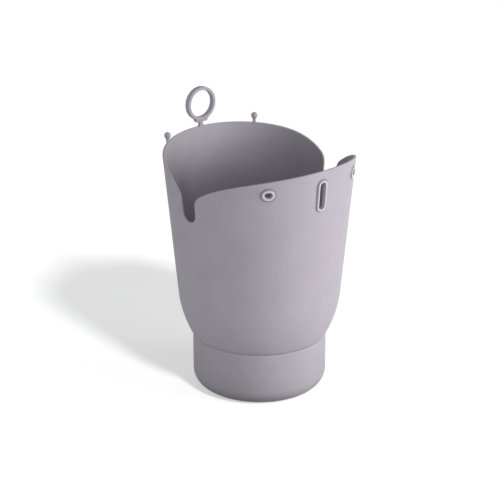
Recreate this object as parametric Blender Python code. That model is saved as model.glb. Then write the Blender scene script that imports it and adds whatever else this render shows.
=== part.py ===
"""Microwave popper: a moulded silicone vessel whose two lips pinch shut.

It stands on z = 0 with its axis on Z. The front lip is towards -Y, the back lip with the
pull ring towards +Y, and left is -X. All sizes are in metres. The real vessel is one
moulding, and each region that moves by itself, or changes thickness, is a piece here.
"""

from math import asin, atan, cos, degrees, pi, radians, sin, sqrt, tan

import bmesh
import bpy
from mathutils import Matrix, Vector

# Base cup
CUP_RADIUS = 0.0600
CUP_HEIGHT = 0.0500
FLOOR_THICKNESS = 0.0030
FOOT_FILLET = 0.0145
WALL = 0.0022

# Shoulder and flaring wall, measured on the outside
SHOULDER_HEIGHT = 0.0390
SHOULDER_RADIUS = 0.0725
WALL_FLARE = 0.095
RIM_CHAMFER = 0.0005

# Rims of the two lips, on the unrolled wall: a low arch, with a steeper fall by the slits.
# The arch and the fall are what the rim has lost at this distance from its middle
ARCH_REACH = 0.1000
FRONT_HEIGHT = 0.2222
FRONT_ARCH = 0.0130
FRONT_FALL = 0.00275
BACK_HEIGHT = 0.2223
BACK_ARCH = 0.0072
BACK_FALL = 0.0034

# Side slits between the lips
SLIT_WIDTH = 0.0182
SLIT_BOTTOM = 0.1720
SLIT_FORWARD = 0.0030
SLIT_CORNER_RADIUS = 0.0050

# Slot and eyelets in the front lip, sizes of the openings
SLOT_WIDTH = 0.0054
SLOT_HEIGHT = 0.0242
SLOT_BELOW_RIM = 0.0223
EYELET_WIDTH = 0.0066
EYELET_HEIGHT = 0.0050
EYELET_BELOW_RIM = 0.0117
EYELET_ANGLE = radians(34.4)
SLOT_RIM_BREADTH = 0.0030
EYELET_RIM_BREADTH = 0.0035
RIM_FLANK = 0.0011
RIM_PROUD = 0.0016
RIM_EDGE_RADIUS = 0.0005

# Studs on the back lip
STUD_ANGLE = radians(36.0)
STUD_STEM_RADIUS = 0.00145
STUD_STEM_LENGTH = 0.0028
STUD_BALL_RADIUS = 0.0030

# Pull ring with its neck and barb
NECK_WIDTH = 0.0040
NECK_THICKNESS = 0.0030
NECK_LENGTH = 0.0038
BARB_WIDTH = 0.0122
BARB_SIDE_HEIGHT = 0.0020
BARB_THICKNESS = 0.0046
BARB_CHAMFER = 0.0005
RING_RADIUS = 0.0155
RING_BREADTH = 0.0031
RING_DEPTH = 0.0052
RING_EDGE_RADIUS = 0.0011
RING_ABOVE_BARB = 0.0009

# Hinge lines of the lips, and the panels that bend about them. The panels end across X
# at these shares of the vessel's radius at the rim
HINGE_HEIGHT = 0.0790
HINGE_OFFSET = SHOULDER_RADIUS - 0.0005
MIDDLE_PANEL_SHARE = 0.305
SIDE_PANEL_SHARE = 0.680
EDGE_PANEL_SHARE = 0.832
MIDDLE_PANEL_FOOT = 0.1000
SIDE_PANEL_FOOT = 0.1390
EDGE_PANEL_FOOT = 0.1760
FOOT_SLOPE = radians(30.0)

# Clearance between neighbouring pieces, and the fineness of the round ones
GAP = 0.0003
COLUMN_STEP = radians(4.5)
FINE_STEP = radians(0.9)
FINE_SPAN = radians(7.2)
CURVE_STEPS = 6
SHOULDER_STEPS = 8
WALL_STEPS = 4
RING_STEPS = 48
BALL_STEPS = 20
CUTTER_REACH = 0.1200

SILICONE = (0.38, 0.35, 0.39, 1.0)
RIM_SILICONE = (0.53, 0.50, 0.54, 1.0)
SILICONE_ROUGHNESS = 0.62


def clear_scene():
    for old in list(bpy.data.objects):
        bpy.data.objects.remove(old, do_unlink=True)


def wall_radius(height):
    """Outer radius of the shoulder and the flaring wall."""
    shoulder_top = CUP_HEIGHT + SHOULDER_HEIGHT
    straight = SHOULDER_RADIUS + WALL_FLARE * (height - shoulder_top)
    if height >= shoulder_top:
        return straight
    step_in = SHOULDER_RADIUS - WALL_FLARE * SHOULDER_HEIGHT - CUP_RADIUS
    return straight - step_in * ((shoulder_top - height) / SHOULDER_HEIGHT) ** 2


LIP_RADIUS = wall_radius(FRONT_HEIGHT)
SLIT_FRONT_ANGLE = pi / 2 - asin((SLIT_FORWARD + SLIT_WIDTH / 2) / LIP_RADIUS)
SLIT_BACK_ANGLE = pi / 2 - asin((SLIT_WIDTH / 2 - SLIT_FORWARD) / LIP_RADIUS)
MIDDLE_PANEL_HALF = MIDDLE_PANEL_SHARE * LIP_RADIUS
SIDE_PANEL_REACH = SIDE_PANEL_SHARE * LIP_RADIUS
EDGE_PANEL_REACH = EDGE_PANEL_SHARE * LIP_RADIUS


def corner_drop(run):
    """How far the rounded corner lies under the rim, run metres before the slit."""
    inside = SLIT_CORNER_RADIUS - run
    if inside <= 0:
        return 0.0
    return SLIT_CORNER_RADIUS - sqrt(max(SLIT_CORNER_RADIUS**2 - inside**2, 0.0))


def lip_rim(height, arch, fall, angle):
    """Height of a lip's rim at an angle from the lip's middle."""
    share = LIP_RADIUS * angle / ARCH_REACH
    return height - arch * share**2 - fall * share**6


def front_rim(angle):
    """Height of the front rim, with the rounded corner before the slit."""
    rim = lip_rim(FRONT_HEIGHT, FRONT_ARCH, FRONT_FALL, angle)
    return rim - corner_drop(LIP_RADIUS * (SLIT_FRONT_ANGLE - angle))


def back_rim(angle):
    """Height of the back rim, with the rounded corner before the slit."""
    rim = lip_rim(BACK_HEIGHT, BACK_ARCH, BACK_FALL, angle)
    return rim - corner_drop(LIP_RADIUS * (SLIT_BACK_ANGLE - angle))


def rim_height(angle):
    """Height of the rim at an angle from the front, anywhere round the vessel."""
    turn = min(angle % (2 * pi), 2 * pi - angle % (2 * pi))
    slit_centre = (SLIT_FRONT_ANGLE + pi - SLIT_BACK_ANGLE) / 2
    if turn < slit_centre:
        return front_rim(min(turn, SLIT_FRONT_ANGLE))
    return back_rim(min(pi - turn, SLIT_BACK_ANGLE))


def column_angles():
    """Angles of the wall's columns, closer together by the slits' corners."""
    half = []
    angle = 0.0
    while angle < pi - COLUMN_STEP / 2:
        half.append(angle)
        near_front = -FINE_SPAN < angle - SLIT_FRONT_ANGLE < FINE_STEP
        near_back = -FINE_STEP < angle - (pi - SLIT_BACK_ANGLE) < FINE_SPAN
        angle += FINE_STEP if near_front or near_back else COLUMN_STEP
    return half + [pi] + [2 * pi - a for a in reversed(half[1:])]


def new_object(name, bm, colour=None):
    """Link a mesh object, shaded smooth with sharp corners kept."""
    bmesh.ops.recalc_face_normals(bm, faces=bm.faces)
    mesh = bpy.data.meshes.new(name)
    bm.to_mesh(mesh)
    bm.free()
    mesh.shade_smooth()
    mesh.set_sharp_from_angle(angle=radians(35))
    piece = bpy.data.objects.new(name, mesh)
    bpy.context.scene.collection.objects.link(piece)
    if colour:
        mesh.materials.append(silicone(name, colour))
    return piece


def silicone(name, colour):
    material = bpy.data.materials.new(name)
    material.use_nodes = True
    shader = material.node_tree.nodes["Principled BSDF"]
    shader.inputs["Base Color"].default_value = colour
    shader.inputs["Roughness"].default_value = SILICONE_ROUGHNESS
    shader.inputs["Metallic"].default_value = 0.0
    return material


def add_cutter(name, bm):
    cutter = new_object(name, bm)
    cutter.hide_render = True
    cutter.display_type = "WIRE"
    return cutter


def combine(piece, cutter, operation="DIFFERENCE"):
    boolean = piece.modifiers.new(cutter.name, "BOOLEAN")
    boolean.operation = operation
    boolean.solver = "EXACT"
    boolean.object = cutter


def pivot(name, spot, carrier=None):
    """An empty on a joint's axis, for the pieces that move about it."""
    empty = bpy.data.objects.new(name, None)
    empty.empty_display_size = 0.01
    bpy.context.scene.collection.objects.link(empty)
    empty.location = spot
    if carrier:
        hang(empty, carrier)
    return empty


def hang(item, carrier):
    """Parent an item that is placed in the world to a pivot, where it stands."""
    item.parent = carrier
    item.matrix_parent_inverse = Matrix.Translation(-carrier.location)


def carry(piece, carrier):
    """Give a piece modelled in place its origin on the pivot, and hang it there."""
    piece.data.transform(Matrix.Translation(-carrier.location))
    piece.location = carrier.location
    hang(piece, carrier)


def loft(bm, rings, closed=True):
    """Join rings of points with faces. A closed loft runs back to its first ring."""
    rows = [[bm.verts.new(point) for point in ring] for ring in rings]
    pairs = list(zip(rows, rows[1:] + rows[:1] if closed else rows[1:]))
    for near, far in pairs:
        for i in range(len(near)):
            j = (i + 1) % len(near)
            bm.faces.new((near[i], near[j], far[j], far[i]))
    return rows


def turned(name, profile, steps, colour):
    """A piece turned about Z from (radius, height) points, listed round the section."""
    bm = bmesh.new()
    points = [bm.verts.new((radius, 0, height)) for radius, height in profile]
    edges = [bm.edges.new(pair) for pair in zip(points, points[1:])]
    if profile[0][0] > 0:
        edges.append(bm.edges.new((points[-1], points[0])))
    bmesh.ops.spin(
        bm,
        geom=points + edges,
        cent=(0, 0, 0),
        axis=(0, 0, 1),
        angle=2 * pi,
        steps=steps,
        use_merge=True,
    )
    bmesh.ops.remove_doubles(bm, verts=bm.verts, dist=1e-6)
    return new_object(name, bm, colour)


def arc(centre, radius, start, end, steps):
    """Points on an arc, as (across, up) pairs, with the angles in degrees."""
    turns = [radians(start + (end - start) * i / steps) for i in range(steps + 1)]
    return [(centre[0] + radius * cos(t), centre[1] + radius * sin(t)) for t in turns]


def round_steps():
    return round(2 * pi / COLUMN_STEP)


def base_cup():
    """The cup with its flat floor, rounded at the foot inside and out."""
    top = CUP_HEIGHT - GAP / 2
    inner = CUP_RADIUS - WALL
    inner_fillet = max(FOOT_FILLET - WALL, WALL / 2)
    outer_foot = (CUP_RADIUS - FOOT_FILLET, FOOT_FILLET)
    inner_foot = (inner - inner_fillet, FLOOR_THICKNESS + inner_fillet)
    profile = [(0, 0)]
    profile += arc(outer_foot, FOOT_FILLET, -90, 0, 2 * CURVE_STEPS)
    profile += [(CUP_RADIUS, top), (inner, top)]
    profile += arc(inner_foot, inner_fillet, 0, -90, 2 * CURVE_STEPS)
    profile += [(0, FLOOR_THICKNESS)]
    turned("base_cup", profile, round_steps(), SILICONE)


def shoulder():
    """The rounded step between the cup and the flaring wall."""
    low = CUP_HEIGHT + GAP / 2
    high = CUP_HEIGHT + SHOULDER_HEIGHT - GAP / 2
    heights = [low + (high - low) * i / SHOULDER_STEPS for i in range(SHOULDER_STEPS + 1)]
    outer = [(wall_radius(z), z) for z in heights]
    inner = [(wall_radius(z) - WALL, z) for z in reversed(heights)]
    turned("shoulder", outer + inner, round_steps(), SILICONE)


def wall_column(angle):
    """Section through the flaring wall at one angle, with its chamfered rim."""
    low = CUP_HEIGHT + SHOULDER_HEIGHT + GAP / 2
    top = rim_height(angle)
    high = top - RIM_CHAMFER
    heights = [low + (high - low) * i / WALL_STEPS for i in range(WALL_STEPS + 1)]
    section = [(wall_radius(z), z) for z in heights]
    section += [(wall_radius(top) - RIM_CHAMFER, top)]
    section += [(wall_radius(top) - WALL + RIM_CHAMFER, top)]
    section += [(wall_radius(z) - WALL, z) for z in reversed(heights)]
    return [(r * sin(angle), -r * cos(angle), z) for r, z in section]


def whole_wall(name):
    """The flaring wall all the way round, before it is parted into panels."""
    bm = bmesh.new()
    loft(bm, [wall_column(angle) for angle in column_angles()])
    return new_object(name, bm, SILICONE)


def prism(name, outline, low, high):
    """A cutter along X from low to high, with a (y, z) outline."""
    bm = bmesh.new()
    ends = [[bm.verts.new((x, y, z)) for y, z in outline] for x in (low, high)]
    bm.faces.new(ends[0])
    bm.faces.new(list(reversed(ends[1])))
    for i in range(len(outline)):
        j = (i + 1) % len(outline)
        bm.faces.new((ends[0][i], ends[0][j], ends[1][j], ends[1][i]))
    return add_cutter(name, bm)


def lip_outline(side, foot):
    """Side view of the space over a panel's foot. The foot slopes down inwards."""
    reach = CUTTER_REACH
    outer_foot = foot + (reach - HINGE_OFFSET) * tan(FOOT_SLOPE)
    inner_foot = foot - HINGE_OFFSET * tan(FOOT_SLOPE)
    top = max(FRONT_HEIGHT, BACK_HEIGHT) + reach
    return [(side * reach, outer_foot), (0, inner_foot), (0, top), (side * reach, top)]


def foot_lift():
    """Height between a panel's foot and the wall under it, for one clear gap."""
    return GAP / cos(FOOT_SLOPE)


def lip_window(name, side, reach, foot):
    reach += GAP / 2
    return prism(name, lip_outline(side, foot), -reach, reach)


def body_wall():
    """The wall that stays put: a low belt, and two sides with a slit each."""
    wall = whole_wall("body_wall")
    radius = SLIT_WIDTH / 2
    centre = (-SLIT_FORWARD, SLIT_BOTTOM + radius)
    slit_top = centre[1] + CUTTER_REACH
    slit = arc(centre, radius, 180, 360, 2 * CURVE_STEPS)
    slit += [(centre[0] + radius, slit_top), (centre[0] - radius, slit_top)]
    combine(wall, prism("slit_cutter", slit, -CUTTER_REACH, CUTTER_REACH))
    for word, side in (("front", -1), ("back", 1)):
        windows = (
            ("middle", MIDDLE_PANEL_HALF, MIDDLE_PANEL_FOOT),
            ("side", SIDE_PANEL_REACH, SIDE_PANEL_FOOT),
            ("edge", EDGE_PANEL_REACH, EDGE_PANEL_FOOT),
        )
        for place, reach, foot in windows:
            combine(wall, lip_window(f"{word}_{place}_window", side, reach, foot))


def panel(name, side, low, high, foot, carrier):
    """One panel of a lip, between two planes across X."""
    piece = whole_wall(name)
    outline = lip_outline(side, foot + foot_lift())
    space = prism(f"{name}_space", outline, low + GAP / 2, high - GAP / 2)
    carry(piece, carrier)
    combine(piece, space, "INTERSECT")
    return piece


def stadium(width, height, steps):
    """Outline with round ends, as (across, up) points round the middle."""
    radius = min(width, height) / 2
    half = abs(height - width) / 2
    near = arc((half, 0), radius, -90, 90, steps)
    far = arc((-half, 0), radius, 90, 270, steps)
    if width >= height:
        return near + far
    return [(-up, across) for across, up in near + far]


def wall_frame(angle, height):
    """Matrix at a spot on the wall's outside: X across, Y out of the wall, Z up it."""
    radius = wall_radius(height)
    spot = Vector((radius * sin(angle), -radius * cos(angle), height))
    turn = Matrix.Rotation(angle, 4, "Z") @ Matrix.Rotation(atan(WALL_FLARE), 4, "X")
    return Matrix.Translation(spot) @ turn @ Matrix.Rotation(pi, 4, "Z")


def opening_rim(name, width, height, breadth, spot, carrier):
    """The thick rim round an opening. It lies through the wall and stands proud of it."""
    edge = RIM_EDGE_RADIUS
    section = [(0, -WALL), (0, RIM_PROUD - edge), (edge, RIM_PROUD)]
    section += [(breadth - RIM_FLANK, RIM_PROUD), (breadth, 0), (breadth, -WALL)]
    rings = []
    for grown, out in section:
        outline = stadium(width + 2 * grown, height + 2 * grown, CURVE_STEPS)
        rings.append([spot @ Vector((across, out, up)) for across, up in outline])
    bm = bmesh.new()
    loft(bm, rings)
    piece = new_object(name, bm, RIM_SILICONE)
    carry(piece, carrier)


def opening_cutter(name, width, height, breadth, spot):
    """The hole in a panel that takes an opening's rim with a clear gap."""
    grown = breadth + GAP
    outline = stadium(width + 2 * grown, height + 2 * grown, CURVE_STEPS)
    depth = WALL + RIM_PROUD
    bm = bmesh.new()
    rings = [[spot @ Vector((a, out, up)) for a, up in outline] for out in (-2 * depth, depth)]
    rows = loft(bm, rings, closed=False)
    for row in rows:
        bm.faces.new(row)
    return add_cutter(name, bm)


def front_lip():
    """The front lip: a middle panel with the slot, and on each side two panels."""
    hinge = Vector((0, -HINGE_OFFSET, HINGE_HEIGHT))
    middle = pivot("front_lip_hinge", hinge)
    reach = MIDDLE_PANEL_HALF
    piece = panel("front_lip_panel", -1, -reach, reach, MIDDLE_PANEL_FOOT, middle)
    spot = wall_frame(0, front_rim(0) - SLOT_BELOW_RIM)
    slot = (SLOT_WIDTH, SLOT_HEIGHT, SLOT_RIM_BREADTH, spot)
    combine(piece, opening_cutter("slot_cutter", *slot))
    opening_rim("slot_rim", *slot, middle)
    for word, side in (("left", -1), ("right", 1)):
        carrier = pivot(f"front_{word}_hinge", hinge)
        ends = sorted((side * MIDDLE_PANEL_HALF, side * SIDE_PANEL_REACH))
        piece = panel(f"front_{word}_panel", -1, *ends, SIDE_PANEL_FOOT, carrier)
        height = front_rim(EYELET_ANGLE) - EYELET_BELOW_RIM
        spot = wall_frame(side * EYELET_ANGLE, height)
        eyelet = (EYELET_WIDTH, EYELET_HEIGHT, EYELET_RIM_BREADTH, spot)
        combine(piece, opening_cutter(f"{word}_eyelet_cutter", *eyelet))
        opening_rim(f"{word}_eyelet_rim", *eyelet, carrier)
        outer = pivot(f"front_{word}_edge_hinge", hinge)
        ends = sorted((side * SIDE_PANEL_REACH, side * EDGE_PANEL_REACH))
        panel(f"front_{word}_edge", -1, *ends, EDGE_PANEL_FOOT, outer)


def stud(word, side, lip):
    """A ball on a short stem. The stem's round foot bends on the rim."""
    rim = back_rim(STUD_ANGLE)
    radius = wall_radius(rim) - WALL / 2
    foot = rim + GAP + STUD_STEM_RADIUS
    spot = Vector((side * radius * sin(STUD_ANGLE), radius * cos(STUD_ANGLE), foot))
    carrier = pivot(f"{word}_stud_bend", spot, lip)
    stem_top = STUD_STEM_LENGTH - STUD_STEM_RADIUS
    profile = arc((0, 0), STUD_STEM_RADIUS, -90, 0, CURVE_STEPS)
    profile[0] = (0, -STUD_STEM_RADIUS)
    profile += [(STUD_STEM_RADIUS, stem_top), (0, stem_top)]
    stem = turned(f"{word}_stud_stem", profile, BALL_STEPS, SILICONE)
    centre = stem_top + GAP + STUD_BALL_RADIUS
    profile = arc((0, centre), STUD_BALL_RADIUS, -90, 90, BALL_STEPS // 2)
    profile[0] = (0, centre - STUD_BALL_RADIUS)
    profile[-1] = (0, centre + STUD_BALL_RADIUS)
    ball = turned(f"{word}_stud_ball", profile, BALL_STEPS, SILICONE)
    for piece in (stem, ball):
        piece.location = spot
        hang(piece, carrier)


def neck_spot():
    """Where the ring's neck bends: on the middle of the back rim."""
    foot = BACK_HEIGHT + GAP + NECK_THICKNESS / 2
    return Vector((0, wall_radius(BACK_HEIGHT) - WALL / 2, foot))


def ring_neck(bend):
    """The neck, with a round foot along X on its bending axis."""
    half = NECK_THICKNESS / 2
    top = BACK_HEIGHT + GAP + NECK_LENGTH - bend.location.z
    outline = arc((0, 0), half, 180, 360, 2 * CURVE_STEPS) + [(half, top), (-half, top)]
    rings = [[(x, y, z) for y, z in outline] for x in (-NECK_WIDTH / 2, NECK_WIDTH / 2)]
    bm = bmesh.new()
    for row in loft(bm, rings, closed=False):
        bm.faces.new(row)
    neck = new_object("ring_neck", bm, SILICONE)
    neck.location = bend.location
    hang(neck, bend)


def barb_foot():
    return BACK_HEIGHT + NECK_LENGTH + 2 * GAP


def ring_centre():
    return barb_foot() + RING_ABOVE_BARB + GAP + RING_RADIUS


def ring_barb(twist):
    """The barb under the ring: flat below, hollowed above to seat the ring."""
    foot = barb_foot()
    centre = ring_centre()
    seat = RING_RADIUS + GAP
    half = BARB_WIDTH / 2
    edge = BARB_CHAMFER
    seat_angle = degrees(asin((half - edge) / seat))
    outline = [(-half + edge, foot), (half - edge, foot)]
    outline += [(half, foot + edge), (half, foot + BARB_SIDE_HEIGHT)]
    outline += arc((0, centre), seat, -90 + seat_angle, -90 - seat_angle, 2 * CURVE_STEPS)
    outline += [(-half, foot + BARB_SIDE_HEIGHT), (-half, foot + edge)]
    middle = twist.location.y
    rings = [
        [(x, middle + y, z) for x, z in outline]
        for y in (-BARB_THICKNESS / 2, BARB_THICKNESS / 2)
    ]
    bm = bmesh.new()
    for row in loft(bm, rings, closed=False):
        bm.faces.new(row)
    carry(new_object("ring_barb", bm, SILICONE), twist)


def pull_ring(twist):
    """The finger ring: a rounded oblong section run round a circle."""
    edge = RING_EDGE_RADIUS
    across = RING_BREADTH / 2 - edge
    deep = RING_DEPTH / 2 - edge
    middle = RING_RADIUS - RING_BREADTH / 2
    section = arc((middle + across, deep), edge, 0, 90, 2)
    section += arc((middle - across, deep), edge, 90, 180, 2)
    section += arc((middle - across, -deep), edge, 180, 270, 2)
    section += arc((middle + across, -deep), edge, 270, 360, 2)
    rings = []
    for i in range(RING_STEPS):
        turn = 2 * pi * i / RING_STEPS
        rings.append([(r * sin(turn), y, r * cos(turn)) for r, y in section])
    bm = bmesh.new()
    loft(bm, rings)
    place = Vector((0, twist.location.y, ring_centre()))
    bmesh.ops.translate(bm, vec=place, verts=bm.verts)
    carry(new_object("pull_ring", bm, SILICONE), twist)


def back_lip():
    """The back lip with its panels, the pull ring and the two studs."""
    hinge = Vector((0, HINGE_OFFSET, HINGE_HEIGHT))
    middle = pivot("back_lip_hinge", hinge)
    reach = MIDDLE_PANEL_HALF
    panel("back_lip_panel", 1, -reach, reach, MIDDLE_PANEL_FOOT, middle)
    bend = pivot("ring_bend", neck_spot(), middle)
    ring_neck(bend)
    twist = pivot("ring_twist", neck_spot(), bend)
    ring_barb(twist)
    pull_ring(twist)
    for word, side in (("left", -1), ("right", 1)):
        carrier = pivot(f"back_{word}_hinge", hinge)
        ends = sorted((side * MIDDLE_PANEL_HALF, side * SIDE_PANEL_REACH))
        panel(f"back_{word}_panel", 1, *ends, SIDE_PANEL_FOOT, carrier)
        stud(word, side, carrier)
        outer = pivot(f"back_{word}_edge_hinge", hinge)
        ends = sorted((side * SIDE_PANEL_REACH, side * EDGE_PANEL_REACH))
        panel(f"back_{word}_edge", 1, *ends, EDGE_PANEL_FOOT, outer)


clear_scene()
base_cup()
shoulder()
body_wall()
front_lip()
back_lip()
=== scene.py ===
"""Microwave popper of mauve-grey silicone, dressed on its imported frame.

It stands on z = 0 with its front lip towards -Y and its pull ring towards +Y. All sizes
are in metres.
"""

from math import asin, copysign, cos, pi, radians, sin, sqrt

import bmesh
import bpy
from mathutils import Matrix, Vector


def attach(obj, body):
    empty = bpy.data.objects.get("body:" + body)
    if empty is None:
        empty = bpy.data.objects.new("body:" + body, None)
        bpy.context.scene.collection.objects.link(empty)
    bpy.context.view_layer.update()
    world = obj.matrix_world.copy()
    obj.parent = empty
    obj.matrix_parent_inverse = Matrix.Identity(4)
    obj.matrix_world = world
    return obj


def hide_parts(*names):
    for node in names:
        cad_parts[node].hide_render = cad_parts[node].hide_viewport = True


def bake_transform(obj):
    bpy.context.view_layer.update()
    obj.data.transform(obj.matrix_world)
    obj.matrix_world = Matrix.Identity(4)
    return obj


# The studio: the popper stands on a plain pale floor before a white backdrop, seen a
# little from above and from its front left. A large soft lamp is low on its right and a
# weaker one by the camera. A sun that lights only the floor throws the shadow left.
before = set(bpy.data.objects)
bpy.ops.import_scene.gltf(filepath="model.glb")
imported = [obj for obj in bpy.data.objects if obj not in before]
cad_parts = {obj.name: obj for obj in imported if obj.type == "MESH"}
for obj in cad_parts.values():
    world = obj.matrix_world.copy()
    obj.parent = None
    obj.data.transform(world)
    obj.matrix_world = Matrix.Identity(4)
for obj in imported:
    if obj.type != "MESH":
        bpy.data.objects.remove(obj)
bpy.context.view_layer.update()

scene = bpy.context.scene
scene.view_settings.view_transform = "Standard"

CAMERA_DISTANCE = 1.6015
CAMERA_AZIMUTH = radians(-39.2)
CAMERA_ELEVATION = radians(20.87)
CAMERA_LENS = 129.4
CAMERA_SHIFT = -0.0188
LOOK_AT = Vector((0, 0, 0.1265))
SKY_TINT = (0.97, 0.98, 1.0, 1)
SKY_STRENGTH = 0.54
FLOOR_HALF = 12
FLOOR_WHITE = (0.25, 0.25, 0.25, 1)
FLOOR_GLOW = 0.55
BOUNCE_NEAR, BOUNCE_FAR = 0.085, 0.12
NEAR_GREY, FAR_GREY = 0.03, 0.30


def direction(azimuth, elevation):
    """Unit vector from the popper towards a camera or lamp. Azimuth 0 is the front."""
    return Vector(
        (sin(azimuth) * cos(elevation), -cos(azimuth) * cos(elevation), sin(elevation))
    )


def aim(name, data, azimuth, elevation, distance):
    """Place a camera or lamp round the popper, pointing at its middle."""
    towards = direction(azimuth, elevation)
    stand = bpy.data.objects.new(name, data)
    scene.collection.objects.link(stand)
    stand.location = LOOK_AT + distance * towards
    stand.rotation_euler = towards.to_track_quat("Z", "Y").to_euler()
    return stand


def softbox(name, width, height, energy, azimuth, elevation, distance):
    """Stand a rectangular soft lamp at an azimuth counted from the camera's."""
    lamp = bpy.data.lights.new(name, "AREA")
    lamp.shape = "RECTANGLE"
    lamp.size = width
    lamp.size_y = height
    lamp.energy = energy
    aim(name, lamp, CAMERA_AZIMUTH + azimuth, elevation, distance)


def either(web, first, second):
    """1 where either of two ray tests is."""
    test = web.nodes.new("ShaderNodeMath")
    test.operation = "MAXIMUM"
    web.links.new(first, test.inputs[0])
    web.links.new(second, test.inputs[1])
    return test.outputs[0]


def choose(web, test, no, yes):
    """One shader where the ray test is 1, and the other elsewhere."""
    choice = web.nodes.new("ShaderNodeMixShader")
    web.links.new(test, choice.inputs["Fac"])
    web.links.new(no.outputs[0], choice.inputs[1])
    web.links.new(yes.outputs[0], choice.inputs[2])
    return choice.outputs[0]


lens = bpy.data.cameras.new("studio_camera")
lens.sensor_width = 36
lens.lens = CAMERA_LENS
lens.shift_x = CAMERA_SHIFT
lens.clip_end = 30
scene.camera = aim(
    "studio_camera", lens, CAMERA_AZIMUTH, CAMERA_ELEVATION, CAMERA_DISTANCE
)

softbox(
    "side_softbox",
    width=0.9,
    height=0.5,
    energy=19,
    azimuth=radians(76),
    elevation=radians(8),
    distance=1.5,
)
softbox(
    "front_softbox",
    width=1.2,
    height=0.6,
    energy=5.6,
    azimuth=radians(-8),
    elevation=radians(5),
    distance=2.0,
)

floor_lamp = bpy.data.lights.new("shadow_lamp", "SUN")
floor_lamp.angle = radians(8)
floor_lamp.energy = 6.3
shadow_azimuth = CAMERA_AZIMUTH + radians(32.3)
shadow_stand = aim("shadow_lamp", floor_lamp, shadow_azimuth, radians(39.8), 2)

world = bpy.data.worlds.new("white_backdrop")
scene.world = world
world.use_nodes = True
web = world.node_tree
web.nodes.clear()
seen = web.nodes.new("ShaderNodeLightPath").outputs
any_view = either(web, seen["Is Camera Ray"], seen["Is Glossy Ray"])
any_view = either(web, any_view, seen["Is Transmission Ray"])
soft_sky = web.nodes.new("ShaderNodeBackground")
soft_sky.inputs["Color"].default_value = SKY_TINT
soft_sky.inputs["Strength"].default_value = SKY_STRENGTH
white_wall = web.nodes.new("ShaderNodeBackground")
white_wall.inputs["Color"].default_value = (1, 1, 1, 1)
white_wall.inputs["Strength"].default_value = 1.0
world_end = web.nodes.new("ShaderNodeOutputWorld")
web.links.new(choose(web, any_view, soft_sky, white_wall), world_end.inputs["Surface"])

bm = bmesh.new()
bmesh.ops.create_grid(bm, x_segments=1, y_segments=1, size=FLOOR_HALF)
mesh = bpy.data.meshes.new("floor")
bm.to_mesh(mesh)
bm.free()
floor = bpy.data.objects.new("floor", mesh)
scene.collection.objects.link(floor)

# The camera sees a pale floor. It sends the popper less light, and least from close by.
paper = bpy.data.materials.new("pale_floor")
paper.use_nodes = True
web = paper.node_tree
web.nodes.clear()
seen = web.nodes.new("ShaderNodeLightPath").outputs
spread = web.nodes.new("ShaderNodeTexCoord")
reach = web.nodes.new("ShaderNodeVectorMath")
reach.operation = "LENGTH"
web.links.new(spread.outputs["Object"], reach.inputs[0])
bounce = web.nodes.new("ShaderNodeMapRange")
bounce.inputs["From Min"].default_value = BOUNCE_NEAR
bounce.inputs["From Max"].default_value = BOUNCE_FAR
bounce.inputs["To Min"].default_value = NEAR_GREY
bounce.inputs["To Max"].default_value = FAR_GREY
web.links.new(reach.outputs["Value"], bounce.inputs["Value"])
grey = web.nodes.new("ShaderNodeBsdfDiffuse")
web.links.new(bounce.outputs["Result"], grey.inputs["Color"])
white = web.nodes.new("ShaderNodeBsdfDiffuse")
white.inputs["Color"].default_value = FLOOR_WHITE
glow = web.nodes.new("ShaderNodeEmission")
glow.inputs["Color"].default_value = (1, 1, 1, 1)
glow.inputs["Strength"].default_value = FLOOR_GLOW
lit = web.nodes.new("ShaderNodeAddShader")
web.links.new(white.outputs[0], lit.inputs[0])
web.links.new(glow.outputs[0], lit.inputs[1])
any_view = either(web, seen["Is Camera Ray"], seen["Is Glossy Ray"])
paper_end = web.nodes.new("ShaderNodeOutputMaterial")
web.links.new(choose(web, any_view, grey, lit), paper_end.inputs["Surface"])
mesh.materials.append(paper)

shadow_catch = bpy.data.collections.new("shadow_floor")
shadow_catch.objects.link(floor)
shadow_stand.light_linking.receiver_collection = shadow_catch

# The base cup: the narrow round foot that the vessel stands on. It is silicone,
# compression-moulded, matt from the mould, with a thick flat floor and a rounded foot.
# Its top edge is rounded off where the shoulder starts.
WALL = 0.0022
CUP_RADIUS = 0.0600
CUP_HEIGHT = 0.0500
CUP_FLOOR = 0.0030
FOOT_ROUND = 0.0145
TURN_STEPS = 180
MAUVE_GREY = (0.382, 0.353, 0.395, 1)
TONE_SPREAD = 0.035
TINY = 1e-6


def noise(web, place, scale, detail, roughness=0.5):
    """Noise that stays with the piece."""
    cloud = web.nodes.new("ShaderNodeTexNoise")
    cloud.inputs["Scale"].default_value = scale
    cloud.inputs["Detail"].default_value = detail
    cloud.inputs["Roughness"].default_value = roughness
    web.links.new(place.outputs["Object"], cloud.inputs["Vector"])
    return cloud.outputs["Fac"]


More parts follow.
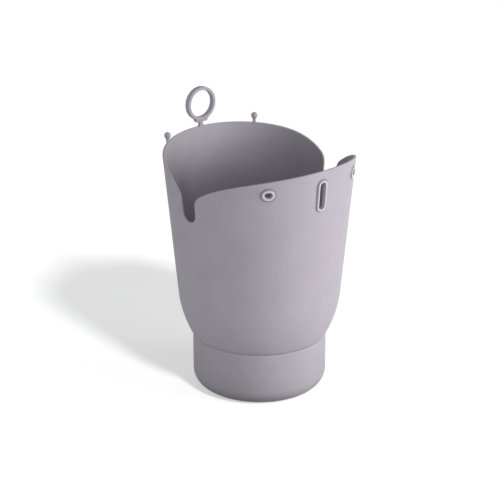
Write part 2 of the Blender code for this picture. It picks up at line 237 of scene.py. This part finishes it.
def silicone(name, tone):
    """Matt moulded silicone: faint clouds in the tone, fine grain from the mould."""
    material = bpy.data.materials.new(name)
    material.use_nodes = True
    web = material.node_tree
    shader = web.nodes["Principled BSDF"]
    shader.inputs["IOR"].default_value = 1.41
    shader.inputs["Specular IOR Level"].default_value = 0.15
    shader.inputs["Sheen Weight"].default_value = 0.03
    shader.inputs["Sheen Roughness"].default_value = 0.5
    place = web.nodes.new("ShaderNodeTexCoord")

    tones = web.nodes.new("ShaderNodeValToRGB")
    ends = ((0.3, 1 - TONE_SPREAD), (0.7, 1 + TONE_SPREAD))
    for end, (position, share) in zip(tones.color_ramp.elements, ends):
        end.position = position
        end.color = (*(channel * share for channel in tone[:3]), 1)
    clouds = noise(web, place, scale=42, detail=4, roughness=0.6)
    web.links.new(clouds, tones.inputs["Fac"])
    web.links.new(tones.outputs["Color"], shader.inputs["Base Color"])

    matt = web.nodes.new("ShaderNodeMapRange")
    matt.inputs["To Min"].default_value = 0.54
    matt.inputs["To Max"].default_value = 0.70
    web.links.new(noise(web, place, scale=320, detail=3), matt.inputs["Value"])
    web.links.new(matt.outputs["Result"], shader.inputs["Roughness"])

    grain = noise(web, place, scale=2600, detail=3, roughness=0.55)
    bump = web.nodes.new("ShaderNodeBump")
    bump.inputs["Strength"].default_value = 0.35
    bump.inputs["Distance"].default_value = 0.00005
    web.links.new(grain, bump.inputs["Height"])
    web.links.new(bump.outputs["Normal"], shader.inputs["Normal"])
    return material


def moulded(name, bm, material, normals=None):
    """Link a finished piece, shaded smooth, with its wall's own normals where given."""
    mesh = bpy.data.meshes.new(name)
    bm.to_mesh(mesh)
    bm.free()
    mesh.shade_smooth()
    if normals:
        mesh.normals_split_custom_set_from_vertices(normals)
    else:
        mesh.set_sharp_from_angle(angle=radians(60))
    mesh.materials.append(material)
    piece = bpy.data.objects.new(name, mesh)
    scene.collection.objects.link(piece)
    return piece


def round_off(bm, geom, offset, segments, affect="VERTICES"):
    """Round off corners, or edges."""
    bmesh.ops.bevel(
        bm,
        geom=geom,
        offset=offset,
        offset_type="OFFSET",
        segments=segments,
        profile=0.5,
        affect=affect,
        material=-1,
    )


def rounded_section(bm, corners, segments=5):
    """A line through (across, up, rounding) corners in the XZ plane, rounded off."""
    points = [bm.verts.new((across, 0, up)) for across, up, _ in corners]
    for pair in zip(points, points[1:]):
        bm.edges.new(pair)
    for point, (_, _, rounding) in zip(points, corners):
        if rounding:
            round_off(bm, [point], rounding, segments)


def turned(bm, steps):
    """Turn the section about Z, and close its seam and poles."""
    bmesh.ops.spin(
        bm,
        geom=bm.verts[:] + bm.edges[:],
        cent=(0, 0, 0),
        axis=(0, 0, 1),
        angle=2 * pi,
        steps=steps,
        use_merge=True,
    )
    bmesh.ops.remove_doubles(bm, verts=bm.verts, dist=TINY)
    bmesh.ops.recalc_face_normals(bm, faces=bm.faces)


mauve_silicone = silicone("mauve_silicone", MAUVE_GREY)
bm = bmesh.new()
rounded_section(
    bm,
    [
        (0, 0, 0),
        (CUP_RADIUS, 0, FOOT_ROUND),
        (CUP_RADIUS, CUP_HEIGHT - 0.0026, 0.0006),
        (CUP_RADIUS - 0.0005, CUP_HEIGHT, 0),
        (CUP_RADIUS - WALL, CUP_HEIGHT, 0),
        (CUP_RADIUS - WALL, CUP_FLOOR, FOOT_ROUND - WALL),
        (0, CUP_FLOOR, 0),
    ],
    segments=12,
)
turned(bm, TURN_STEPS)
cup = moulded("popper_base_cup", bm, mauve_silicone)
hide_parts("base_cup")
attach(cup, "vessel")

# The shoulder: the rounded step by which the cup widens into the wall, part of the same
# moulding. The vessel folds down over it for storage. Its foot is drawn in a little, so
# that a soft groove runs round above the cup.
SHOULDER_HEIGHT = 0.0390
SHOULDER_RADIUS = 0.0725
SHOULDER_TOP = CUP_HEIGHT + SHOULDER_HEIGHT
WALL_FLARE = 0.095
SHOULDER_CUTS = 13
FOOT_GROOVE_DEPTH = 0.0005
FOOT_GROOVE_HEIGHT = 0.0030


def wall_radius(height):
    """Outer radius of the shoulder and the flaring wall."""
    straight = SHOULDER_RADIUS + WALL_FLARE * (height - SHOULDER_TOP)
    if height >= SHOULDER_TOP:
        return straight
    step_in = SHOULDER_RADIUS - WALL_FLARE * SHOULDER_HEIGHT - CUP_RADIUS
    return straight - step_in * ((SHOULDER_TOP - height) / SHOULDER_HEIGHT) ** 2


def wall_slope(height):
    return (wall_radius(height + TINY) - wall_radius(height)) / TINY


bm = bmesh.new()
foot, top = CUP_HEIGHT, SHOULDER_TOP
corners = [(0, foot), (0, top), (-WALL, top), (-WALL, foot)]
points = [bm.verts.new((across, 0, up)) for across, up in corners]
sides = [bm.edges.new(pair) for pair in zip(points, points[1:] + points[:1])]
bmesh.ops.subdivide_edges(bm, edges=sides[::2], cuts=SHOULDER_CUTS)
for vert in bm.verts:
    above = (vert.co.z - CUP_HEIGHT) / FOOT_GROOVE_HEIGHT
    drawn_in = FOOT_GROOVE_DEPTH * max(0, 1 - above) ** 2
    is_outer = vert.co.x > -WALL / 2
    vert.co.x += wall_radius(vert.co.z) - (drawn_in if is_outer else 0)
turned(bm, TURN_STEPS)
normals = []
for vert in bm.verts:
    across = Vector((vert.co.x, vert.co.y, 0))
    out = (across.normalized() - Vector((0, 0, wall_slope(vert.co.z)))).normalized()
    is_drawn_in = vert.co.z < CUP_HEIGHT + FOOT_GROOVE_HEIGHT
    is_outer = across.length > wall_radius(vert.co.z) - WALL / 2
    normals.append(Vector() if is_drawn_in else out if is_outer else -out)
shoulder = moulded("popper_shoulder", bm, mauve_silicone, normals)
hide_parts("shoulder")
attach(shoulder, "vessel")

# The front of the flaring wall: one skin, from the shoulder to the arched front lip and
# half way into both steam slits. It is drawn flat, as the unrolled wall, cut out, given
# its thickness and rounded rim, and wrapped round the vessel.
FRONT_HEIGHT = 0.2222
LIP_RADIUS = wall_radius(FRONT_HEIGHT)
SEAM_ANGLE = radians(88)
SLIT_FRONT_ANGLE = radians(81.7)
SLIT_BOTTOM = 0.1720
SLIT_ROUND = 0.0086
SLIT_CORNER = 0.0050
FRONT_ARCH = 0.0130
FRONT_FALL = 0.00275
FRONT_SWAY = 0.0009
ARCH_REACH = 0.1000
RIM_ROUND = 0.0008
CELL_WIDTH = radians(2) * LIP_RADIUS
ROW_TOP = 0.2142
ROW_HEIGHT = 0.0057
ROWS = [ROW_TOP - ROW_HEIGHT * step for step in range(22)]
SLOT_ROW = 0.2172
COLUMN_CLEARANCE = 0.0016
ROW_CLEARANCE = 0.0020
MERGE_WITHIN = 0.0003
SLOT_HEIGHT_AT = 0.1999
SLOT_HOLE = (0.0122, 0.0306)
EYELET_ANGLE = radians(34.1)
EYELET_HEIGHT_AT = 0.2071
EYELET_SWAY = 0.0004
EYELET_HOLE = (0.0138, 0.0122)


def lip_rim(height, arch, fall, run):
    """Height of a lip's low arch, run metres from its middle on the unrolled wall."""
    share = run / ARCH_REACH
    return height - arch * share**2 - fall * share**6


def front_rim(run):
    sway = FRONT_SWAY * sin(2 * run / LIP_RADIUS)
    return lip_rim(FRONT_HEIGHT, FRONT_ARCH, FRONT_FALL, run) + sway


def flat_skin(bm, seam, slit, rim):
    """The unrolled wall between its seams, with a straight edge for a rim."""
    outline = [
        (-seam, SHOULDER_TOP, 0),
        (seam, SHOULDER_TOP, 0),
        (seam, SLIT_BOTTOM, 0),
        (slit, SLIT_BOTTOM, SLIT_ROUND),
        (slit, rim(slit), SLIT_CORNER),
        (-slit, rim(-slit), SLIT_CORNER),
        (-slit, SLIT_BOTTOM, SLIT_ROUND),
        (-seam, SLIT_BOTTOM, 0),
    ]
    corners = [bm.verts.new((run, 0, up)) for run, up, _ in outline]
    bm.faces.new(corners)
    for corner, (_, _, rounding) in zip(corners, outline):
        if rounding:
            round_off(bm, [corner], rounding, segments=14)


def slice_faces(bm, faces, where, normal):
    edges = list(dict.fromkeys(edge for face in faces for edge in face.edges))
    verts = list(dict.fromkeys(vert for face in faces for vert in face.verts))
    geom = verts + edges + faces
    bmesh.ops.bisect_plane(bm, geom=geom, dist=TINY, plane_co=where, plane_no=normal)


def slice_columns(bm, seam, slit):
    """Cut upright lines into the skin, none of them close beside a slit's edge."""
    steps = int(seam / CELL_WIDTH)
    for step in range(-steps, steps + 1):
        run = step * CELL_WIDTH
        if abs(abs(run) - slit) > COLUMN_CLEARANCE:
            slice_faces(bm, bm.faces[:], (run, 0, 0), (1, 0, 0))
    bmesh.ops.remove_doubles(bm, verts=bm.verts, dist=MERGE_WITHIN)


def arch_rim(bm, slit, rim):
    """Lift the straight edge between the slits to the rim's own line."""
    above_slit = SLIT_BOTTOM + SLIT_ROUND + 0.001
    for vert in bm.verts:
        if vert.co.z > above_slit:
            share = (vert.co.x + slit) / (2 * slit)
            edge = rim(-slit) * (1 - share) + rim(slit) * share
            vert.co.z += rim(vert.co.x) - edge


def slice_rows(bm, rows, reach):
    """Cut level lines into the skin, none of them close under the rim or a slit."""
    for height in rows:
        crossed = []
        for face in bm.faces:
            above = [vert.co.z for vert in face.verts if vert.co.z > height]
            is_near = abs(face.calc_center_median().x) < reach
            is_cut = 0 < len(above) < len(face.verts)
            if is_near and is_cut and min(above) > height + ROW_CLEARANCE:
                crossed.append(face)
        slice_faces(bm, crossed, (0, 0, height), (0, 0, 1))


def stretch(verts, width, tall):
    """Draw a ring out upright, with round ends, or to a lying oval of even breadth."""
    for vert in verts:
        across = vert.co.x / sqrt(vert.co.x**2 + vert.co.z**2)
        vert.co.x += max(width - tall, 0) / 2 * across
        vert.co.z += copysign(max(tall - width, 0) / 2, vert.co.z)


def is_within(spot, window, margin=0):
    """Whether a spot is in a window, or at most a margin outside it."""
    left, right, low, high = window
    is_across = left - margin < spot.x < right + margin
    return is_across and low - margin < spot.z < high + margin


def open_window(bm, run, height, hole, window):
    """Swap a window of grid cells for a hole, with rings of faces round it."""
    inside = [f for f in bm.faces if is_within(f.calc_center_median(), window, 1e-5)]
    border = dict.fromkeys(e for face in inside for e in face.edges)
    border = [e for e in border if sum(f in inside for f in e.link_faces) == 1]
    bmesh.ops.delete(bm, geom=inside, context="FACES")
    border = [e for e in border if e.is_valid]
    width, tall = hole
    steps = 2 * len(border)
    ring = bmesh.ops.create_circle(bm, segments=steps, radius=min(width, tall) / 2)
    verts = ring["verts"]
    bmesh.ops.rotate(bm, verts=verts, matrix=Matrix.Rotation(pi / steps, 3, "Z"))
    bmesh.ops.rotate(bm, verts=verts, matrix=Matrix.Rotation(pi / 2, 3, "X"))
    stretch(verts, width, tall)
    bmesh.ops.translate(bm, vec=(run, 0, height), verts=verts)
    rim = list(dict.fromkeys(e for vert in verts for e in vert.link_edges))
    fan = bmesh.ops.bridge_loops(bm, edges=border + rim)["faces"]
    spokes = dict.fromkeys(e for face in fan for e in face.edges)
    spokes = [e for e in spokes if e not in border and e not in rim]
    bmesh.ops.subdivide_edges(bm, edges=spokes, cuts=2, use_grid_fill=True)


def thicken(bm, seam, windows):
    """Give the flat skin its thickness inwards, and round its rim and slit edges."""
    bmesh.ops.recalc_face_normals(bm, faces=bm.faces)
    bmesh.ops.solidify(bm, geom=bm.faces[:], thickness=WALL)
    high = max(vert.co.y for vert in bm.verts)
    bmesh.ops.translate(bm, vec=(0, -high, 0), verts=bm.verts)
    bmesh.ops.recalc_face_normals(bm, faces=bm.faces)

    def is_hidden(face):
        at_seam = all(abs(abs(vert.co.x) - seam) < TINY for vert in face.verts)
        at_foot = all(abs(vert.co.z - SHOULDER_TOP) < TINY for vert in face.verts)
        return at_seam or at_foot

    def is_rim(edge):
        spot = (edge.verts[0].co + edge.verts[1].co) / 2
        in_window = any(is_within(spot, window) for window in windows)
        is_sharp = edge.calc_face_angle(0) > 1
        return is_sharp and not in_window and not any(map(is_hidden, edge.link_faces))

    rims = [edge for edge in bm.edges if is_rim(edge)]
    round_off(bm, rims, RIM_ROUND, segments=4, affect="EDGES")


def wrapped(bm, middle, seam=0):
    """Wrap flat work round the vessel, with its middle at an angle from the front.

    A skin's end faces, at its seams, meet the other skin and don't shade its edge.
    """
    at_seam = {vert for vert in bm.verts if abs(abs(vert.co.x) - seam) < TINY}
    ends = {face for face in bm.faces if at_seam.issuperset(face.verts)}
    normals = []
    for vert in bm.verts:
        run, out, height = vert.co
        angle = middle + run / LIP_RADIUS
        radius = wall_radius(height) + out
        vert.co = (radius * sin(angle), -radius * cos(angle), height)
        facing = Vector((sin(angle), -cos(angle), -WALL_FLARE)).normalized()
        is_outside = abs(out) < TINY / 10
        is_inside = abs(out + WALL) < TINY / 10
        normals.append(facing if is_outside else -facing if is_inside else Vector())
    bmesh.ops.reverse_faces(bm, faces=bm.faces[:])
    bm.normal_update()
    for index, vert in enumerate(bm.verts):
        shown = [face for face in vert.link_faces if face not in ends]
        if not normals[index].length and len(shown) < len(vert.link_faces):
            facing = sum((face.normal * face.calc_area() for face in shown), Vector())
            normals[index] = facing.normalized()
    return normals


slot_window = (-3 * CELL_WIDTH, 3 * CELL_WIDTH, ROWS[6], SLOT_ROW)
left_window = (-20 * CELL_WIDTH, -14 * CELL_WIDTH, ROWS[3], ROWS[0])
right_window = (14 * CELL_WIDTH, 20 * CELL_WIDTH, ROWS[3], ROWS[0])
bm = bmesh.new()
seam = SEAM_ANGLE * LIP_RADIUS
slit = SLIT_FRONT_ANGLE * LIP_RADIUS
flat_skin(bm, seam, slit, front_rim)
slice_columns(bm, seam, slit)
arch_rim(bm, slit, front_rim)
slice_rows(bm, ROWS, seam)
slice_rows(bm, [SLOT_ROW], 4 * CELL_WIDTH)
open_window(bm, 0, SLOT_HEIGHT_AT, SLOT_HOLE, slot_window)
for side, window in ((-1, left_window), (1, right_window)):
    run = side * EYELET_ANGLE * LIP_RADIUS
    open_window(bm, run, EYELET_HEIGHT_AT + side * EYELET_SWAY, EYELET_HOLE, window)
thicken(bm, seam, [slot_window, left_window, right_window])
front_wall = moulded("popper_front_wall", bm, mauve_silicone, wrapped(bm, 0, seam))
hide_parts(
    "body_wall",
    "front_lip_panel",
    "front_left_panel",
    "front_right_panel",
    "front_left_edge",
    "front_right_edge",
)
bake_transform(front_wall)

# The back of the flaring wall: the other skin of the same moulding. Its rim is a lower
# arch, nearly level under the ring and the studs, and steeper by the slits. It meets
# the front skin in the middle of both slits, edge to edge.
BACK_HEIGHT = 0.2223
BACK_ARCH = 0.0072
BACK_FALL = 0.0034
SLIT_BACK_ANGLE = radians(85.9)


def back_rim(run):
    return lip_rim(BACK_HEIGHT, BACK_ARCH, BACK_FALL, run)


bm = bmesh.new()
seam = (pi - SEAM_ANGLE) * LIP_RADIUS
slit = SLIT_BACK_ANGLE * LIP_RADIUS
flat_skin(bm, seam, slit, back_rim)
slice_columns(bm, seam, slit)
arch_rim(bm, slit, back_rim)
slice_rows(bm, ROWS, seam)
thicken(bm, seam, [])
back_wall = moulded("popper_back_wall", bm, mauve_silicone, wrapped(bm, pi, seam))
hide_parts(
    "back_lip_panel",
    "back_left_panel",
    "back_right_panel",
    "back_left_edge",
    "back_right_edge",
)
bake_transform(back_wall)

# The slot's rim and both eyelets' rims: thick beads moulded round the openings of the
# front lip, where the barb and the studs snap in. They stand proud of the wall outside,
# out of a narrow groove, and a painted highlight makes their rounded crowns paler.
RIM_PROUD = 0.0016
RIM_FLANK = 0.0011
RIM_DRAFT = 0.0001
RIM_BACK = -WALL - 0.00015
INNER_CROWN, OUTER_CROWN = 0.0008, 0.0005
BACK_ROUND = 0.0004
GROOVE_WIDTH = 0.0006
GROOVE_DEPTH = 0.0009
RIM_STEPS = 48
RIM_SIDE_CUTS = 7
SLOT_BEAD = {"width": 0.0060, "tall": 0.0244, "breadth": 0.0028}
EYELET_BEAD = {"width": 0.0066, "tall": 0.0050, "breadth": 0.0033}
HIGHLIGHT_FROM, HIGHLIGHT_SPAN = 0.62, 0.2
HIGHLIGHT_MAUVE = (0.56, 0.53, 0.57, 1)

# The beads' material mixes a painted highlight, a paler mauve, onto their crowns.
highlight_silicone = silicone("painted_highlight_rim_silicone", MAUVE_GREY)
web = highlight_silicone.node_tree
painted_highlight = web.nodes.new("ShaderNodeAttribute")
painted_highlight.attribute_name = "painted_highlight"
highlight_mix = web.nodes.new("ShaderNodeMix")
highlight_mix.data_type = "RGBA"
highlight_mix.inputs["B"].default_value = HIGHLIGHT_MAUVE
tone = web.nodes["Principled BSDF"].inputs["Base Color"]
web.links.new(painted_highlight.outputs["Fac"], highlight_mix.inputs["Factor"])
web.links.new(tone.links[0].from_socket, highlight_mix.inputs["A"])
web.links.new(highlight_mix.outputs["Result"], tone)


def bead(name, node, run, height, width, tall, breadth):
    """A rounded bead round an opening, modelled flat and wrapped on."""
    bm = bmesh.new()
    near = min(width, tall) / 2
    far = near + breadth
    rounded_section(
        bm,
        [
            (near + breadth / 2, RIM_BACK, 0),
            (near, RIM_BACK, BACK_ROUND),
            (near, RIM_PROUD, INNER_CROWN),
            (far - RIM_FLANK, RIM_PROUD, OUTER_CROWN),
            (far - RIM_DRAFT, -GROOVE_DEPTH, 0),
            (far + GROOVE_WIDTH, -GROOVE_DEPTH, 0),
            (far + GROOVE_WIDTH, RIM_BACK, BACK_ROUND),
            (near + breadth / 2, RIM_BACK, 0),
        ],
    )
    turned(bm, RIM_STEPS)
    bmesh.ops.rotate(bm, verts=bm.verts, matrix=Matrix.Rotation(pi / RIM_STEPS, 3, "Z"))
    bmesh.ops.rotate(bm, verts=bm.verts, matrix=Matrix.Rotation(-pi / 2, 3, "X"))
    stretch(bm.verts, width, tall)
    if tall > width:
        sides = [e for e in bm.edges if e.verts[0].co.z * e.verts[1].co.z < 0]
        cuts = RIM_SIDE_CUTS
        bmesh.ops.subdivide_edges(bm, edges=sides, cuts=cuts, use_grid_fill=True)
    bm.normal_update()
    # Painted highlight: the faces of the crown that look outwards get the paler tone.
    highlight_layer = bm.verts.layers.float.new("painted_highlight")
    for vert in bm.verts:
        if vert.co.y > 0:
            crown = (vert.normal.y - HIGHLIGHT_FROM) / HIGHLIGHT_SPAN
            vert[highlight_layer] = min(max(crown, 0), 1)
    bmesh.ops.translate(bm, vec=(run, 0, height), verts=bm.verts)
    wrapped(bm, 0)
    piece = moulded(name, bm, highlight_silicone)
    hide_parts(node)
    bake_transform(piece)


bead("popper_slot_rim", "slot_rim", 0, SLOT_HEIGHT_AT, **SLOT_BEAD)
for word, side in (("left", -1), ("right", 1)):
    bead(
        f"popper_{word}_eyelet_rim",
        f"{word}_eyelet_rim",
        side * EYELET_ANGLE * LIP_RADIUS,
        EYELET_HEIGHT_AT + side * EYELET_SWAY,
        **EYELET_BEAD,
    )

# The studs: ball-headed buttons of solid silicone on the back rim. Each stem spreads
# into the rim along its length and widens again under its ball.
STUD_ANGLE = radians(36)
STUD_ROOT = -0.0016
STUD_ROOT_RADIUS = 0.00095
STUD_STEM_RADIUS = 0.0013
STUD_FLARE_RADIUS = 0.0021
STUD_BALL_RADIUS = 0.0030
STUD_BALL_HEIGHT = 0.0064
STUD_BALL_STEPS = 18
STUD_TURN_STEPS = 32
STUD_SPREAD = 1.3
STUD_SPREAD_FROM = -0.0004
STUD_SPREAD_HEIGHT = 0.0024

flare_up = STUD_BALL_HEIGHT - sqrt(STUD_BALL_RADIUS**2 - STUD_FLARE_RADIUS**2)
stud_foot = back_rim(STUD_ANGLE * LIP_RADIUS)
stud_out = wall_radius(stud_foot) - WALL / 2
for word, side in (("left", -1), ("right", 1)):
    bm = bmesh.new()
    rounded_section(
        bm,
        [
            (0, STUD_ROOT, 0),
            (STUD_ROOT_RADIUS, STUD_ROOT, 0),
            (STUD_ROOT_RADIUS, -0.0004, 0.0003),
            (STUD_STEM_RADIUS, 0.0012, 0.0006),
            (STUD_STEM_RADIUS, 0.0024, 0.0008),
            (STUD_FLARE_RADIUS, flare_up, 0),
        ],
    )
    bmesh.ops.spin(
        bm,
        geom=[max(bm.verts, key=lambda vert: vert.co.z)],
        cent=(0, 0, STUD_BALL_HEIGHT),
        axis=(0, -1, 0),
        angle=pi - asin(STUD_FLARE_RADIUS / STUD_BALL_RADIUS),
        steps=STUD_BALL_STEPS,
    )
    turned(bm, STUD_TURN_STEPS)
    for vert in bm.verts:
        spread = max(0, 1 - (vert.co.z - STUD_SPREAD_FROM) / STUD_SPREAD_HEIGHT)
        vert.co.x *= 1 + STUD_SPREAD * min(spread, 1) ** 2
    along_rim = Matrix.Rotation(-side * STUD_ANGLE, 3, "Z")
    bmesh.ops.rotate(bm, verts=bm.verts, matrix=along_rim)
    spot = Vector((side * sin(STUD_ANGLE), cos(STUD_ANGLE), 0)) * stud_out
    spot.z = stud_foot
    bmesh.ops.translate(bm, vec=spot, verts=bm.verts)
    stud = moulded(f"popper_{word}_stud", bm, mauve_silicone)
    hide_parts(f"{word}_stud_stem", f"{word}_stud_ball")
    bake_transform(stud)

# The neck: a short strap of solid silicone between the back rim and the pull ring. Its
# foot spreads into the rim.
NECK_WIDTH = 0.0040
NECK_THICKNESS = 0.0030
NECK_ROUND = 0.0006
NECK_FOOT_WIDTH = NECK_WIDTH + 0.0024
NECK_FOOT_THICKNESS = WALL - 0.0004
NECK_SECTIONS = [
    (-0.0016, NECK_FOOT_WIDTH, NECK_FOOT_THICKNESS),
    (-0.0005, NECK_FOOT_WIDTH, NECK_FOOT_THICKNESS),
    (0.0003, NECK_WIDTH + 0.0014, 0.0025),
    (0.0010, NECK_WIDTH + 0.0006, 0.0028),
    (0.0017, NECK_WIDTH + 0.0001, NECK_THICKNESS),
    (0.0023, NECK_WIDTH, NECK_THICKNESS),
    (0.0029, NECK_WIDTH, NECK_THICKNESS),
]

bm = bmesh.new()
rim_middle = wall_radius(BACK_HEIGHT) - WALL / 2
spot = Vector((0, rim_middle, BACK_HEIGHT))
level, wide, deep = NECK_SECTIONS[0]
bmesh.ops.create_grid(bm, x_segments=1, y_segments=1, size=0.5)
bmesh.ops.scale(bm, vec=(wide, deep, 1), verts=bm.verts)
round_off(bm, bm.verts[:], NECK_ROUND, segments=3)
bmesh.ops.translate(bm, vec=(0, 0, level), verts=bm.verts)
face = bm.faces[:]
for step, (next_level, next_wide, next_deep) in enumerate(NECK_SECTIONS[1:]):
    grown = bmesh.ops.extrude_face_region(bm, geom=face)
    verts = [v for v in grown["geom"] if isinstance(v, bmesh.types.BMVert)]
    if step:
        bmesh.ops.delete(bm, geom=face, context="FACES_ONLY")
    face = [f for f in grown["geom"] if isinstance(f, bmesh.types.BMFace)]
    bmesh.ops.translate(bm, vec=(0, 0, next_level - level), verts=verts)
    bmesh.ops.scale(bm, vec=(next_wide / wide, next_deep / deep, 1), verts=verts)
    level, wide, deep = next_level, next_wide, next_deep
bmesh.ops.translate(bm, vec=spot, verts=bm.verts)
bmesh.ops.recalc_face_normals(bm, faces=bm.faces)
neck = moulded("popper_ring_neck", bm, mauve_silicone)
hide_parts("ring_neck")
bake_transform(neck)

# The pull ring: a finger loop of oblong section with the barb under it, moulded as one.
# The ring is pulled through the slot, and the barb's two wings lock behind the slot's
# rim.
BARB_FOOT = 0.2267
BARB_WIDTH = 0.0122
BARB_SIDE = 0.0014
BARB_THICKNESS = 0.0046
BARB_TIP_INSET = 0.0004
BARB_TIP_TURN = 38
RING_RADIUS = 0.0155
RING_BREADTH = 0.0031
RING_DEPTH = 0.0052
RING_ROUND = 0.0007
RING_CENTRE = 0.2434
RING_STEPS = 120
NECK_TOP_HEIGHT = 0.0034
NECK_TOP_CENTRE = 0.2263
RING_VOXEL = 0.00026

bm = bmesh.new()
middle = RING_RADIUS - RING_BREADTH / 2
half_across, half_deep = RING_BREADTH / 2, RING_DEPTH / 2
corners = [(-half_across, -half_deep), (half_across, -half_deep)]
corners += [(half_across, half_deep), (-half_across, half_deep)]
points = [bm.verts.new((middle + across, 0, up)) for across, up in corners]
for pair in zip(points, points[1:] + points[:1]):
    bm.edges.new(pair)
round_off(bm, points, RING_ROUND, segments=4)
turned(bm, RING_STEPS)
bmesh.ops.rotate(bm, verts=bm.verts, matrix=Matrix.Rotation(pi / 2, 3, "X"))
bmesh.ops.translate(bm, vec=(0, rim_middle, RING_CENTRE), verts=bm.verts)

lift = RING_CENTRE - BARB_FOOT
half = BARB_WIDTH / 2
outline = [(-half, 0), (half, 0), (half, BARB_SIDE)]
for turn in (BARB_TIP_TURN, 30, 20, 10, 0, -10, -20, -30, -BARB_TIP_TURN):
    at_tip = abs(turn) == BARB_TIP_TURN
    reach = RING_RADIUS - BARB_TIP_INSET if at_tip else middle
    outline.append((reach * sin(radians(turn)), lift - reach * cos(radians(turn))))
outline += [(-half, BARB_SIDE)]
front = rim_middle - BARB_THICKNESS / 2
barb = bm.faces.new([bm.verts.new((x, front, BARB_FOOT + z)) for x, z in outline])
grown = bmesh.ops.extrude_face_region(bm, geom=[barb], use_keep_orig=True)
verts = [v for v in grown["geom"] if isinstance(v, bmesh.types.BMVert)]
bmesh.ops.translate(bm, vec=(0, BARB_THICKNESS, 0), verts=verts)

neck_top = bmesh.ops.create_cube(bm, size=1)["verts"]
size = (NECK_WIDTH, NECK_THICKNESS, NECK_TOP_HEIGHT)
bmesh.ops.scale(bm, vec=size, verts=neck_top)
upright = dict.fromkeys(edge for vert in neck_top for edge in vert.link_edges)
upright = [edge for edge in upright if edge.verts[0].co.z * edge.verts[1].co.z < 0]
round_off(bm, upright, NECK_ROUND, segments=3, affect="EDGES")
neck_top = [vert for vert in bm.verts if vert.co.z < NECK_TOP_HEIGHT]
bmesh.ops.translate(bm, vec=(0, rim_middle, NECK_TOP_CENTRE), verts=neck_top)
bmesh.ops.recalc_face_normals(bm, faces=bm.faces)
ring = moulded("popper_pull_ring", bm, mauve_silicone)

# One skin goes over the loop, the barb and the neck's top, eased where they meet.
fused = ring.modifiers.new("fused", "REMESH")
fused.mode = "VOXEL"
fused.voxel_size = RING_VOXEL
fused.use_smooth_shade = True
eased = ring.modifiers.new("eased", "SMOOTH")
eased.factor = 0.5
eased.iterations = 4
bpy.context.view_layer.update()
rough = ring.data
ring.data = bpy.data.meshes.new_from_object(
    ring.evaluated_get(bpy.context.evaluated_depsgraph_get())
)
ring.modifiers.clear()
bpy.data.meshes.remove(rough)
ring.data.name = "popper_pull_ring"
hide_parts("ring_barb", "pull_ring")
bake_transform(ring)
